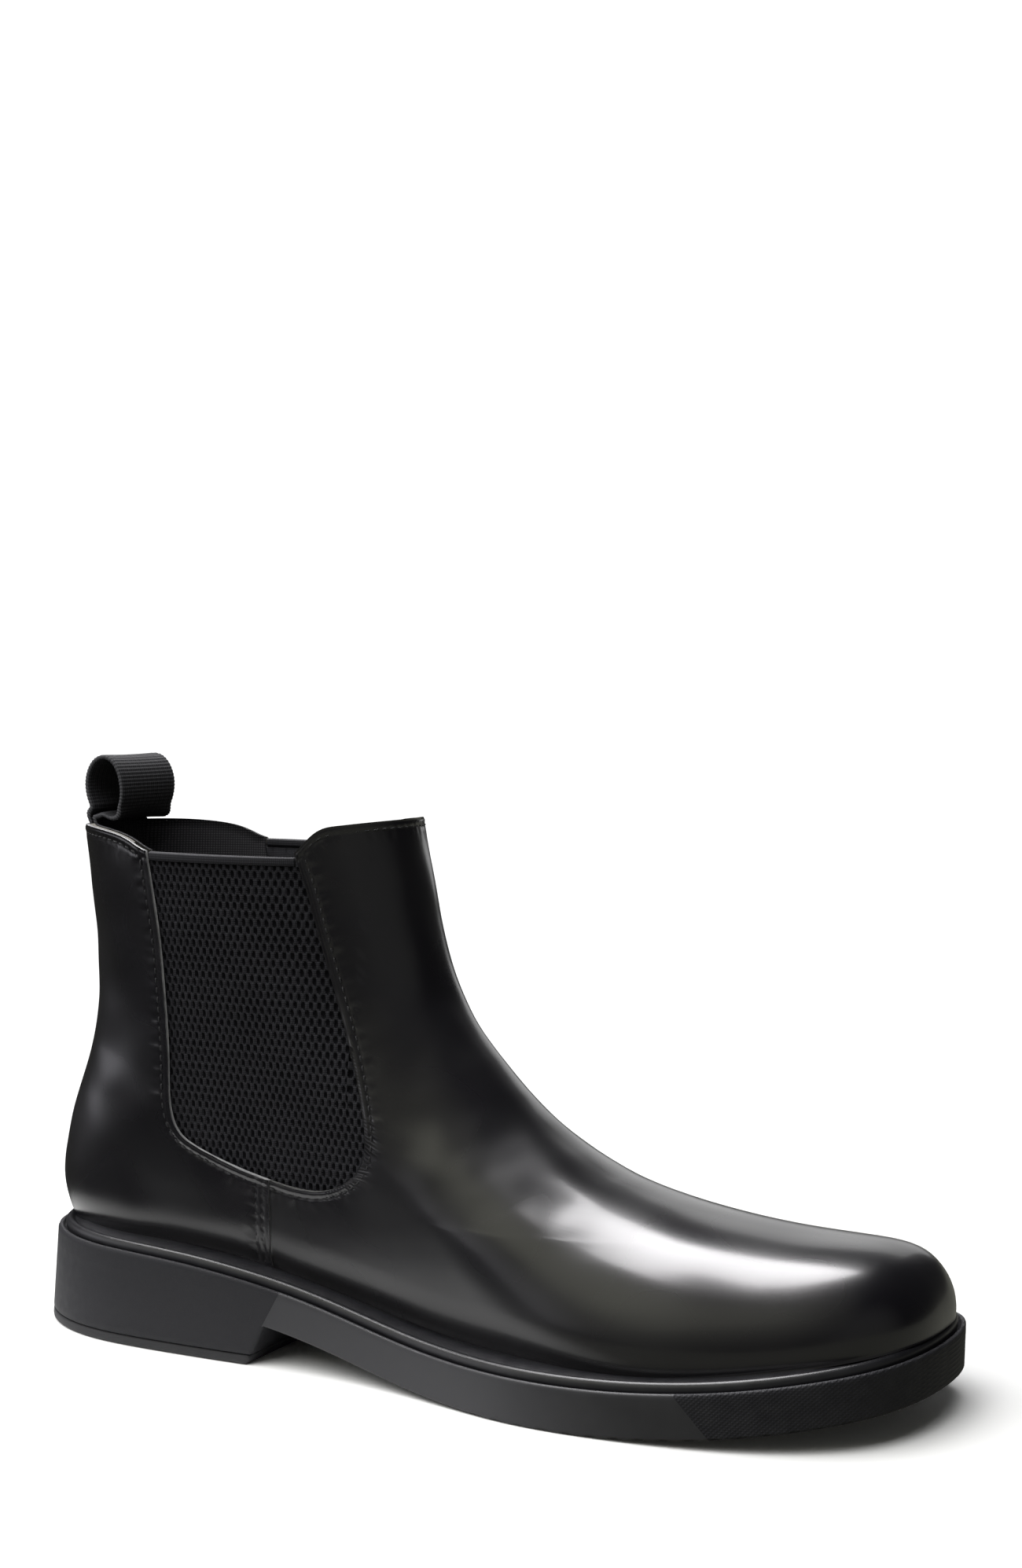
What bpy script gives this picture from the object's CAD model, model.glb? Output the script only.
"""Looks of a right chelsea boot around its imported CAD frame.

The driving tables are in millimetres, as in the CAD source; meshes are in metres.
+X is the toe, +Y the inner (medial) side, +Z up. Colours are linear.
"""
import math

import bmesh
import bpy
import numpy as np
from mathutils import Matrix, Vector, kdtree, noise
from mathutils.geometry import delaunay_2d_cdt


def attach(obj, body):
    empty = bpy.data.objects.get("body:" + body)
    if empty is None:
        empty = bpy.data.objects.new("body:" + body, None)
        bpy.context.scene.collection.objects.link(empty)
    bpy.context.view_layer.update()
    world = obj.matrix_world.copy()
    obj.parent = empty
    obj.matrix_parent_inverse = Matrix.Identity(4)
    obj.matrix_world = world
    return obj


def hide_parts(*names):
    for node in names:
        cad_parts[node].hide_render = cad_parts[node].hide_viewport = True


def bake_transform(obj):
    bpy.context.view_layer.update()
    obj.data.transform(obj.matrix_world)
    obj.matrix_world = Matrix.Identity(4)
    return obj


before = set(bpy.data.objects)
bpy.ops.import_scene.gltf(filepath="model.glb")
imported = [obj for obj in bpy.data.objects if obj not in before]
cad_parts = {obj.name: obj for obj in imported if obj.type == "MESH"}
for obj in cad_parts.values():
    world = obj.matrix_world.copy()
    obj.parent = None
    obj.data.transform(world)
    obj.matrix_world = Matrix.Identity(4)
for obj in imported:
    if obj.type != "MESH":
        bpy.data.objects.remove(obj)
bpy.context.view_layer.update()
MM = 0.001
SIDES = ((-1, "lateral"), (1, "medial"))

# ------------------------------------------------------------------ driving tables, millimetres
FRONT_LINE = [(151.5, 27.5), (151, 33), (147.5, 41), (140, 48), (127, 50.8), (104, 51.8), (78, 55),
              (51, 62), (26, 76.5), (7.5, 95), (-7, 115), (-14.5, 138), (-19.5, 160), (-22.5, 179),
              (-25.5, 200)]
BACK_LINE = [(-147, 28), (-152.5, 45), (-150, 62), (-143.5, 82), (-137.5, 103), (-136, 125),
             (-137.5, 150), (-139.5, 175), (-140.5, 200)]
WIDTH_LATERAL = [(-147, 30), (-117, 31), (-77, 32), (-37, 33), (3, 37), (38, 45), (63, 50), (88, 51.5),
                 (113, 49), (153, 44)]
WIDTH_MEDIAL = [(-147, 31), (-117, 32), (-77, 32), (-37, 31.5), (3, 34), (38, 41), (63, 45.5),
                (88, 46.5), (113, 44.5), (153, 42)]
WIDTH_SHAFT = [(0, 34), (60, 33.5), (90, 33.5), (120, 35), (150, 36.5), (200, 38.5)]
CENTRE_LINE = [(-150, 1.5), (0, 1.5), (60, 2.5), (110, 6), (150, 10.5)]
FOOT_TO_SHAFT = (45, 115)
CORNERS_OPEN = (60, 130)
FRONT_CORNER = (46, 2.5)
BACK_CORNER = (44, 2.2)
SHAFT_POWER = 2.15
TUCK, TUCK_HEIGHT = 0.05, 14
RIM_HEIGHT = [(-157, 32), (-117, 31), (-77, 29.3), (-37, 23.3), (3, 15.5), (43, 13.6), (73, 14.2),
              (103, 17), (133, 21.7), (163, 26.5)]
OUTLINE = [(-150.5, 2), (-145.5, 20), (-125, 33.5), (-95, 38.5), (-57, 37.5), (-22, 36), (13, 39.5),
           (48, 48), (73, 52.5), (97, 55), (120, 53), (142, 45.5), (152, 29), (154, 8), (150, -14),
           (138.5, -32.5), (115.5, -46), (88, -52.5), (63, -55), (38, -54), (3, -46.5), (-32, -42),
           (-62, -42), (-95, -41), (-125, -35.5), (-145.5, -19)]
SOLE_WALL = [(-67, 12.5), (3, 13.2), (73, 13.8), (163, 13.5)]
HEEL_FLARE = 3.5
SEAT_LAYER = 6.0
TOP_LIFT = 3.2
BREAST = (-56.5, -44.5)                # the heel's front face: x at the ground, x at the rim
FOREFOOT = (103.0, 92.5)               # the ribbed zone of the wall starts: x low down, x at the rim

LEATHER = 1.4
BACKING = 1.6
GORE_DEPTHS = (1.7, 2.7)
LINING_DEPTHS = (3.0, 3.8)
TAPE_DEPTHS = (1.0, 3.4)
WELT = 2.5
SOCK_TOP = 10.3
TOPLINE = [(-170, 164.6), (-140, 164.6), (-125, 164.4), (-113, 163.4), (-104, 161.2), (-98, 158.8),
           (-92, 158.2), (-70, 158.2), (-50, 158.2), (-45.5, 158.8), (-42.5, 161.8), (-39, 165.6),
           (-33, 167.8), (-25, 168.8), (-10, 170)]
GORE_EDGE = [(-98, 175), (-96.8, 158), (-94, 137), (-92.5, 112), (-92, 92), (-91.8, 77), (-89, 69.5),
             (-83, 65.5), (-70, 61), (-54, 57.2), (-38, 55.6), (-28, 58.5), (-21, 64.5), (-19, 73),
             (-21.2, 85), (-26.5, 102), (-34.5, 125), (-40.5, 147), (-44, 158), (-49, 175)]
GORE_LAP = 6.0
GORE_TOP = 155.6
TAPE_TOP = 158.0
SIDE_SEAM_X = -54.5
TAB_CENTRE = (-127.7, 176.3)
TAB_RADII = (7.3, 10.3)
TAB_HINGE = (-136.4, 166.5)
TAB_HALF_WIDTH = 14.0
TAIL_CURVE = 3.7                       # how far the tab's tails curve forward at their edges
TAIL_LEAN = 0.12                       # and how far they lean forward per millimetre down

# Where the lean of the shaft is shared out between the foot and the shaft's front
LEATHER_BLEND = ((0, 0, 76.4), (-21.15, 0, 118.2))
GORE_BLEND = ((-60, 0, 115.9), (-38.6, 0, 134.7))
TAB_BLEND = ((-136.4, 0, 164.6), (-134.6, 0, 169.6))


# ------------------------------------------------------------------ numbers and curves
def mix(a, b, share):
    return a + (b - a) * share


def ease(low, high, value):
    share = np.clip((value - low) / (high - low), 0, 1)
    return share * share * (3 - 2 * share)


def hump(value, centre, width):
    """A bell of height 1."""
    return np.exp(-((value - centre) / width) ** 2)


def smooth_table(rows):
    """A natural cubic spline through (input, output) rows, straight beyond its ends."""
    xs, ys = np.array(rows, float).T
    count = len(xs)
    steps = np.diff(xs)
    rises = np.diff(ys) / steps
    matrix = np.zeros((count, count))
    right = np.zeros(count)
    matrix[0, :2] = 2, 1
    matrix[-1, -2:] = 1, 2
    right[0], right[-1] = 3 * rises[0], 3 * rises[-1]
    for i in range(1, count - 1):
        matrix[i, i - 1:i + 2] = steps[i], 2 * (steps[i - 1] + steps[i]), steps[i - 1]
        right[i] = 3 * (steps[i] * rises[i - 1] + steps[i - 1] * rises[i])
    slopes = np.linalg.solve(matrix, right)

    def value_at(x):
        x = np.asarray(x, float)
        i = np.clip(np.searchsorted(xs, x, side="right") - 1, 0, count - 2)
        t = np.clip((x - xs[i]) / steps[i], 0, 1)
        inside = ((1 + 2 * t) * (1 - t) ** 2 * ys[i] + t * (1 - t) ** 2 * slopes[i] * steps[i]
                  + t * t * (3 - 2 * t) * ys[i + 1] + t * t * (t - 1) * slopes[i + 1] * steps[i])
        before = np.minimum(x - xs[0], 0) * slopes[0]
        after = np.maximum(x - xs[-1], 0) * slopes[-1]
        return inside + before + after

    return value_at


def smooth_line(points):
    """A smooth plane curve through points, as a function of 0 to 1."""
    places = np.array(points, float)
    steps = np.sqrt(np.linalg.norm(np.diff(places, axis=0), axis=1))
    marks = np.concatenate([[0], np.cumsum(steps)])
    marks /= marks[-1]
    first = smooth_table(list(zip(marks, places[:, 0])))
    second = smooth_table(list(zip(marks, places[:, 1])))
    return lambda share: (first(share), second(share))


def unit(vectors):
    return vectors / np.linalg.norm(vectors, axis=1)[:, None]


def run_marks(points):
    """How far along a polyline each of its points is."""
    return np.concatenate([[0], np.cumsum(np.linalg.norm(np.diff(points, axis=0), axis=1))])


def rows_at(places, marks, rows):
    """Rows of values interpolated at places among their marks."""
    return np.stack([np.interp(places, marks, column) for column in rows.T], -1)


def spaced(points, step):
    """A polyline resampled evenly, about a step apart, both ends kept."""
    points = np.asarray(points, float)
    marks = run_marks(points)
    count = max(2, int(round(marks[-1] / step)) + 1)
    return rows_at(np.linspace(0, marks[-1], count), marks, points)


def moved_sideways(points, distance):
    """A plane polyline moved to its right-hand side."""
    run = unit(np.gradient(np.asarray(points, float), axis=0))
    return points + np.stack([run[:, 1], -run[:, 0]], -1) * distance


def lattice_of(xs, ys):
    return np.stack(np.meshgrid(xs, ys), -1).reshape(-1, 2)


def search_tree(places):
    """A search tree of plane or space points."""
    tree = kdtree.KDTree(len(places))
    for i, place in enumerate(places):
        tree.insert((*place, 0)[:3], i)
    tree.balance()
    return tree


# ------------------------------------------------------------------ the upper's skin
SAMPLES = 400
front_line = smooth_line(FRONT_LINE)
back_line = smooth_line(BACK_LINE)
front_x, front_z = front_line(np.linspace(0, 1, SAMPLES + 1))
back_x, back_z = back_line(np.linspace(0, 1, SAMPLES + 1))
toe_index = int(np.argmax(front_x))
half_lateral, half_medial = smooth_table(WIDTH_LATERAL), smooth_table(WIDTH_MEDIAL)
half_shaft = smooth_table(WIDTH_SHAFT)
centre_y = smooth_table(CENTRE_LINE)
rim_z = smooth_table(RIM_HEIGHT)
wall_height = smooth_table(SOLE_WALL)
top_z = smooth_table(TOPLINE)
FAR = 480.0                            # stands for no ridge overhead


def feather_z(x):
    return rim_z(x) + WELT


def rounding(distance, radius, power):
    return (1 - (1 - np.clip(distance / radius, 0, 1)) ** power) ** (1 / power)


def half_width(x, z, side):
    """Half width of the boot at points of its side view, side below 0 being lateral."""
    front = np.interp(z, front_z, front_x)
    back = np.interp(z, back_z, back_x)
    ridge = np.interp(x, front_x[toe_index:][::-1], front_z[toe_index:][::-1])
    ahead = np.maximum(front - x, 1e-6)
    over = np.where(x > front_x[-1], np.maximum(ridge - z, 1e-6), FAR)
    to_front = 1 / np.sqrt(1 / ahead ** 2 + 1 / over ** 2)
    to_back = np.maximum(x - back, 0)
    foot = np.where(side < 0, half_lateral(x), half_medial(x))
    widest = mix(foot, half_shaft(z), ease(*FOOT_TO_SHAFT, z))
    half_length = (front - back) / 2
    rise = ease(*CORNERS_OPEN, z)
    at_front = rounding(to_front, mix(FRONT_CORNER[0], half_length, rise),
                        mix(FRONT_CORNER[1], SHAFT_POWER, rise))
    at_back = rounding(to_back, mix(BACK_CORNER[0], half_length, rise),
                       mix(BACK_CORNER[1], SHAFT_POWER, rise))
    tuck = 1 - TUCK * np.clip(1 - (z - feather_z(x)) / TUCK_HEIGHT, 0, 1) ** 2
    return widest * at_front * at_back * tuck


def level_place(share, level):
    """Side-view place (x, z) of the skin, a share of the way from the back line to the front line."""
    fx, fz = front_line(level)
    bx, bz = back_line(level)
    x = mix(bx, fx, share)
    straight = mix(feather_z(bx), feather_z(fx), share)
    return x, mix(bz, fz, share) + (feather_z(x) - straight) * (1 - level) ** 3


def side_place(turn, level):
    """Side-view place (x, z) of the skin: turn 0 is the front centre, level 0 the feather line."""
    return level_place((1 + np.cos(turn)) / 2, level)


def turn_skin(turn, level):
    x, z = side_place(turn, level)
    side = np.where(np.sin(turn) < 0, -1.0, 1.0)
    return np.stack([x, centre_y(x) + side * half_width(x, z, side), z], -1)


def halve(low, high, is_low):
    """Bisection, for arrays: is_low says where the answer lies above a guess."""
    for _ in range(44):
        guess = (low + high) / 2
        below = is_low(guess)
        low, high = np.where(below, guess, low), np.where(below, high, guess)
    return (low + high) / 2


def level_below(turn, height_at):
    """The level at which the skin reaches a height, itself a function of x."""
    def is_low(level):
        x, z = side_place(turn, level)
        return z < height_at(x)

    return halve(np.zeros_like(turn), np.ones_like(turn), is_low)


# Round the boot, u runs from 0 at the front to 1 at the back (below 0 on the lateral side), evenly
# along the skin; v runs from 0 at the feather line to 1 at the topline.
turn_table = math.pi * (1 - np.cos(np.linspace(0, math.pi, 801))) / 2
top_table = level_below(turn_table, top_z)


def even_share(level):
    marks = run_marks(turn_skin(-turn_table, top_table * level))
    return marks / marks[-1]


u_table = (even_share(0.1) + even_share(0.75)) / 2


def skin(uv):
    """Points of the skin for (u, v) rows; u beyond 1 goes on round the back."""
    u = (uv[:, 0] + 1) % 2 - 1
    turn = np.interp(np.abs(u), u_table, turn_table)
    level = np.interp(turn, turn_table, top_table) * uv[:, 1]
    return turn_skin(np.where(u < 0, -turn, turn), level)


def skin_normals(uv):
    """Outward unit normals of the skin."""
    across = np.array([0.002, 0])
    up = np.array([0, 0.002])
    low = np.where(uv[:, 1:] > 0.5, uv - up, uv)
    around = skin(uv + across) - skin(uv - across)
    upward = skin(low + up) - skin(low)
    return unit(np.cross(around, upward))


def locate(places):
    """(u, v) of side-view places (x, z), u positive."""
    x, z = np.asarray(places, float).T

    def share_of(level):
        rear = back_line(level)[0]
        return np.clip((x - rear) / (front_line(level)[0] - rear), 0, 1)

    def is_low(level):
        return level_place(share_of(level), level)[1] < z

    level = halve(np.zeros_like(x), np.ones_like(x), is_low)
    turn = np.arccos(2 * share_of(level) - 1)
    u = np.interp(turn, turn_table, u_table)
    return np.stack([u, level / np.interp(turn, turn_table, top_table)], -1)


def side_skin(places, side):
    """Skin points for side-view places on one side, -1 lateral or 1 medial."""
    x, z = np.asarray(places, float).T
    return np.stack([x, centre_y(x) + side * half_width(x, z, np.full_like(x, side)), z], -1)


def side_normals(places, side):
    step = 0.4
    along = side_skin(places + [step, 0], side) - side_skin(places - [step, 0], side)
    up = side_skin(places + [0, step], side) - side_skin(places - [0, step], side)
    return unit(np.cross(along, up) * -side)


# ------------------------------------------------------------------ meshes
def make_object(name, points, faces, materials, nodes=(), zone=None, kinds=None,
                facing=None):
    """A smooth-shaded piece from points in millimetres, some of them with a known facing. It rides on
    the foot, or over a zone between two places it goes over from the foot's motion to its follower's."""
    mesh = bpy.data.meshes.new(name)
    mesh.from_pydata((points * MM).tolist(), [], [tuple(int(i) for i in f) for f in faces])
    for material in materials:
        mesh.materials.append(material)
    mesh.polygons.foreach_set("use_smooth", np.ones(len(mesh.polygons), bool))
    if kinds is not None:
        mesh.polygons.foreach_set("material_index", np.asarray(kinds, np.int32))
    mesh.update()
    if facing is not None:
        first, directions = facing
        every = np.zeros((len(points), 3))
        every[first:first + len(directions)] = directions
        mesh.normals_split_custom_set_from_vertices(every.tolist())
    piece = bpy.data.objects.new(name, mesh)
    bpy.context.scene.collection.objects.link(piece)
    if zone:
        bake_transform(piece)
    else:
        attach(piece, "root")
    if nodes:
        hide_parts(*nodes)
    return piece


def fill_loop(loop, inner, scale):
    """Triangles of a plane region: (all points, triangles), its closed loop being the first points."""
    scale = np.asarray(scale, float)
    everything = np.concatenate([loop, inner]) * scale
    count = len(loop)
    edges = [(i, (i + 1) % count) for i in range(count)]
    found = delaunay_2d_cdt([Vector(p) for p in everything], edges, [], 0, 1e-6, True)
    places, faces, origins = found[0], found[2], found[3]
    at = {}
    for new, old in enumerate(origins):
        for index in old:
            at[index] = new
    order = [at[i] for i in range(count)]
    taken = set(order)
    order += [i for i in range(len(places)) if i not in taken]
    rank = np.empty(len(order), int)
    rank[order] = np.arange(len(order))
    flat = np.array([places[i] for i in order]) / scale
    triangles = np.array([[rank[i] for i in f] for f in faces])
    a, b, c = (flat[triangles[:, k]] * scale for k in range(3))
    area = (b[:, 0] - a[:, 0]) * (c[:, 1] - a[:, 1]) - (b[:, 1] - a[:, 1]) * (c[:, 0] - a[:, 0])
    triangles[area < 0] = triangles[area < 0][:, ::-1]
    return flat, triangles[is_inside(loop * scale, (a + b + c) / 3)]


def is_inside(loop, probe):
    """Whether points lie inside a plane loop, by counting its crossings."""
    crossings = np.zeros(len(probe), int)
    for (ax, ay), (bx, by) in zip(loop, np.roll(loop, -1, axis=0)):
        if ay == by:
            continue
        spans = (probe[:, 1] >= min(ay, by)) & (probe[:, 1] < max(ay, by))
        at = ax + (probe[:, 1] - ay) * (bx - ax) / (by - ay)
        crossings += spans & (at > probe[:, 0])
    return crossings % 2 == 1


def inside_points(loop, points, scale, clear):
    """The points that lie inside a loop, and at least a clearance from it."""
    scaled = np.asarray(loop) * scale
    probe = np.asarray(points) * scale
    tree = search_tree(scaled)
    inside = is_inside(scaled, probe)
    far = np.array([not ok or tree.find((*p, 0))[2] > clear for p, ok in zip(probe, inside)])
    return np.asarray(points)[inside & far]


def distances(points, line):
    """Distance of each point to a dense polyline, and how far along the line its nearest point is."""
    tree = search_tree(line)
    found = [tree.find(p) for p in points]
    return np.array([f[2] for f in found]), run_marks(line)[[f[1] for f in found]]


EDGE_RINGS = (0.25, 0.7)               # where the rings of a slab's cut edge lie through its thickness
EDGE_BULGE = 0.2


def thick_faces(triangles, loop_count):
    """Faces of a slab: outer layer, inner layer, and bands over the rings of its cut edge."""
    count = triangles.max() + 1
    rings = [np.arange(loop_count)]
    rings += [2 * count + k * loop_count + np.arange(loop_count) for k in range(len(EDGE_RINGS))]
    rings.append(count + np.arange(loop_count))
    faces = [tuple(t) for t in triangles] + [tuple(t[::-1] + count) for t in triangles]
    kinds = [0] * len(triangles) + [1] * len(triangles)
    for upper, lower in zip(rings, rings[1:]):
        for i in range(loop_count):
            j = (i + 1) % loop_count
            faces.append((upper[j], upper[i], lower[i], lower[j]))
            kinds.append(2)
    return faces, kinds


def slab_points(points, normals, relief, loop_count, depth, thickness):
    """Outer and inner layers and the rounded cut edge of a slab under the skin."""
    outer = points - normals * depth + normals * relief[:, None]
    inner = points - normals * (depth + thickness)
    loop = points[:loop_count]
    along = unit(np.roll(loop, -1, axis=0) - np.roll(loop, 1, axis=0))
    out = np.cross(along, normals[:loop_count]) * EDGE_BULGE
    rings = [mix(outer[:loop_count], inner[:loop_count], share) + out for share in EDGE_RINGS]
    return np.concatenate([outer, inner] + rings)


# ------------------------------------------------------------------ materials
def plug(tree, node, inputs):
    """Links the inputs that are given as sockets, and sets the others."""
    for key, value in inputs.items():
        if isinstance(value, bpy.types.NodeSocket):
            tree.links.new(value, node.inputs[key])
        else:
            node.inputs[key].default_value = value


def add_node(tree, kind, inputs=None, **settings):
    node = tree.nodes.new(kind)
    for key, value in settings.items():
        setattr(node, key, value)
    plug(tree, node, inputs or {})
    return node


def dress(material, **sockets):
    """Constants or nodes on a material's Principled sockets, _ standing for a space in their names."""
    tree = material.node_tree
    plug(tree, tree.nodes["Principled BSDF"], {key.replace("_", " "): sockets[key] for key in sockets})


def new_material(name, colour, roughness, **sockets):
    """A Principled material with constants set on its own sockets."""
    material = bpy.data.materials.new(name)
    material.use_nodes = True
    dress(material, Base_Color=(*colour, 1), Roughness=roughness, **sockets)
    material.diffuse_color = (*colour, 1)
    return material


def object_places(tree, scale=(1, 1, 1), turn=(0, 0, 0), shift=(0, 0, 0)):
    """The piece's own coordinates in metres, scaled, turned and shifted."""
    own = add_node(tree, "ShaderNodeTexCoord").outputs["Object"]
    inputs = {"Vector": own, "Scale": scale, "Rotation": turn, "Location": shift}
    return add_node(tree, "ShaderNodeMapping", inputs).outputs["Vector"]


def noise_texture(tree, places, size, detail=3.0, roughness=0.55):
    """Soft noise with features about a size in millimetres."""
    inputs = {"Vector": places, "Scale": 1 / (size * MM), "Detail": detail, "Roughness": roughness}
    return add_node(tree, "ShaderNodeTexNoise", inputs).outputs["Fac"]


def ramp(tree, factor, stops):
    node = add_node(tree, "ShaderNodeValToRGB", {"Fac": factor})
    elements = node.color_ramp.elements
    while len(elements) < len(stops):
        elements.new(0.5)
    for element, (position, colour) in zip(elements, stops):
        element.position = position
        element.color = (*colour, 1)
    return node.outputs["Color"]


def mottled(tree, cloud, colours, low=0.3, high=0.7):
    """Two colours that go over into each other with a cloud of noise."""
    return ramp(tree, cloud, [(low, colours[0]), (high, colours[1])])


def value_range(tree, factor, low, high, start=0.3, stop=0.7):
    inputs = {"Value": factor, "From Min": start, "From Max": stop, "To Min": low, "To Max": high}
    return add_node(tree, "ShaderNodeMapRange", inputs).outputs["Result"]


def bumped(tree, heights):
    """Bumps one on another, from (height socket, depth in millimetres) pairs, as a normal."""
    normal = None
    for height, depth in heights:
        inputs = {"Height": height, "Strength": 1.0, "Distance": depth * MM}
        if normal is not None:
            inputs["Normal"] = normal
        normal = add_node(tree, "ShaderNodeBump", inputs).outputs["Normal"]
    return normal


def make_leather(name, colours, rough, grain=0.004, coat=0.35):
    """Smooth box-side leather: a fine grain, a soft finish that varies a little."""
    material = new_material(name, colours[0], rough[0], Coat_Weight=coat, Coat_Roughness=0.16,
                            Coat_IOR=1.5, IOR=1.5)
    tree = material.node_tree
    places = object_places(tree)
    dress(material, Base_Color=mottled(tree, noise_texture(tree, places, 26, 4.0), colours),
          Roughness=value_range(tree, noise_texture(tree, places, 30, 0.0), *rough),
          Normal=bumped(tree, [(noise_texture(tree, places, 1.3, 1.0), grain)]))
    return material


def make_rough(name, colours, rough, size, depth, **sockets):
    """A matt material with mottled colour and a fine grain."""
    material = new_material(name, colours[0], rough[0], **sockets)
    tree = material.node_tree
    places = object_places(tree)
    cloud = noise_texture(tree, places, size * 6, 4.0)
    dress(material, Base_Color=mottled(tree, cloud, colours, 0.32, 0.68),
          Roughness=value_range(tree, cloud, *rough),
          Normal=bumped(tree, [(noise_texture(tree, places, size, 5.0, 0.65), depth)]))
    return material


def crossing_ridges(tree, places, pitches, directions):
    """Parallel ridges two ways, at pitches in millimetres, multiplied."""
    heights = {}
    for i, (pitch, direction) in enumerate(zip(pitches, directions)):
        inputs = {"Vector": places, "Scale": 2 * math.pi / (20 * pitch * MM), "Distortion": 0.0}
        wave = add_node(tree, "ShaderNodeTexWave", inputs, wave_profile="SIN", bands_direction=direction)
        heights[i] = wave.outputs["Fac"]
    return add_node(tree, "ShaderNodeMath", heights, operation="MULTIPLY").outputs["Value"]


def make_woven(name, colours, rough, pitches, depth, directions=("X", "Z")):
    """A close weave: threads both ways."""
    material = new_material(name, colours[0], rough, Specular_IOR_Level=0.2)
    tree = material.node_tree
    places = object_places(tree)
    weave = crossing_ridges(tree, places, pitches, directions)
    dress(material, Base_Color=mottled(tree, weave, colours, 0.0, 0.6),
          Normal=bumped(tree, [(weave, depth), (noise_texture(tree, places, 0.3), depth / 2)]))
    return material


def make_ribbed_rubber(name, colours, rough):
    """Moulded rubber with fine ribs crossing on the slant."""
    material = new_material(name, colours[0], rough, Specular_IOR_Level=0.3)
    tree = material.node_tree
    places = object_places(tree)
    slant = object_places(tree, turn=(0, math.radians(45), 0))
    ribs = crossing_ridges(tree, slant, (1.0, 1.0), ("X", "Z"))
    dress(material, Base_Color=mottled(tree, noise_texture(tree, places, 5), colours),
          Normal=bumped(tree, [(ribs, 0.12), (noise_texture(tree, places, 0.4), 0.03)]))
    return material


def make_metal(name, colour, rough):
    material = new_material(name, colour, rough, Metallic=1.0)
    tree = material.node_tree
    streaks = noise_texture(tree, object_places(tree), 1.5, 4.0)
    dress(material, Roughness=value_range(tree, streaks, rough, rough + 0.2),
          Normal=bumped(tree, [(streaks, 0.01)]))
    return material


black_leather = make_leather("black_leather", [(0.0036, 0.0033, 0.0048), (0.0052, 0.0049, 0.0062)],
                             (0.24, 0.33))
sock_leather = make_leather("sock_leather", [(0.02, 0.019, 0.018), (0.035, 0.033, 0.03)],
                            (0.5, 0.62), 0.02, 0.0)
# Each: darker and lighter colour, lowest and highest roughness, size and depth of the grain
pale_edge = make_rough("pale_edge", [(0.13, 0.13, 0.135), (0.24, 0.24, 0.245)], (0.5, 0.65), 0.5, 0.05)
cut_edge = make_rough("cut_edge", [(0.02, 0.02, 0.02), (0.05, 0.05, 0.048)], (0.6, 0.75), 0.5, 0.08)
flesh_side = make_rough("flesh_side", [(0.02, 0.019, 0.018), (0.035, 0.033, 0.03)], (0.85, 0.95), 0.6, 0.08)
knit_ground = make_rough("knit_ground", [(0.003, 0.003, 0.004), (0.005, 0.005, 0.006)],
                         (0.8, 0.9), 0.3, 0.04, Specular_IOR_Level=0.1)
heel_rubber = make_rough("heel_rubber", [(0.005, 0.005, 0.0075), (0.008, 0.008, 0.0105)],
                         (0.6, 0.7), 0.5, 0.06, Specular_IOR_Level=0.4)
waist_rubber = make_rough("waist_rubber", [(0.016, 0.016, 0.019), (0.02, 0.02, 0.023)],
                          (0.5, 0.58), 1.2, 0.02)
lift_rubber = make_rough("lift_rubber", [(0.01, 0.01, 0.012), (0.015, 0.015, 0.017)],
                         (0.62, 0.72), 0.7, 0.05)
welt_rubber = make_rough("welt_rubber", [(0.008, 0.008, 0.01), (0.011, 0.011, 0.013)],
                         (0.34, 0.42), 0.8, 0.015)
backing_felt = make_rough("backing_felt", [(0.1, 0.095, 0.085), (0.16, 0.15, 0.135)],
                          (0.85, 0.95), 0.5, 0.08)
stiffener_sheet = make_rough("stiffener_sheet", [(0.3, 0.28, 0.24), (0.4, 0.37, 0.32)],
                             (0.6, 0.75), 0.9, 0.05)
board_fibre = make_rough("board_fibre", [(0.3, 0.2, 0.12), (0.42, 0.3, 0.19)], (0.8, 0.9), 0.7, 0.08)
foam_cells = make_rough("foam_cells", [(0.35, 0.33, 0.28), (0.45, 0.43, 0.38)], (0.85, 0.95), 0.6, 0.15)
cork_grains = make_rough("cork_grains", [(0.2, 0.11, 0.05), (0.42, 0.27, 0.14)], (0.8, 0.95), 1.1, 0.2)
# Each: darker and lighter colour, roughness, the two pitches and the depth of the weave
lining_cloth = make_woven("lining_cloth", [(0.012, 0.012, 0.014), (0.035, 0.034, 0.037)],
                          0.85, (0.8, 0.8), 0.1)
elastic_cloth = make_woven("elastic_cloth", [(0.008, 0.008, 0.01), (0.026, 0.026, 0.03)],
                           0.8, (0.42, 0.6), 0.06)
tape_cloth = make_woven("tape_cloth", [(0.01, 0.01, 0.012), (0.026, 0.026, 0.03)], 0.75, (0.6, 0.7), 0.06)
webbing_cloth = make_woven("webbing_cloth", [(0.018, 0.018, 0.02), (0.042, 0.042, 0.046)],
                           0.8, (1.0, 0.7), 0.07, ("Y", "Y"))
thread = make_woven("thread", [(0.012, 0.012, 0.013), (0.035, 0.035, 0.037)], 0.6, (0.5, 0.5), 0.03)
ribbed_rubber = make_ribbed_rubber("ribbed_rubber", [(0.01, 0.01, 0.013), (0.017, 0.017, 0.02)], 0.66)
spring_steel = make_metal("spring_steel", (0.56, 0.57, 0.58), 0.3)


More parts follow.
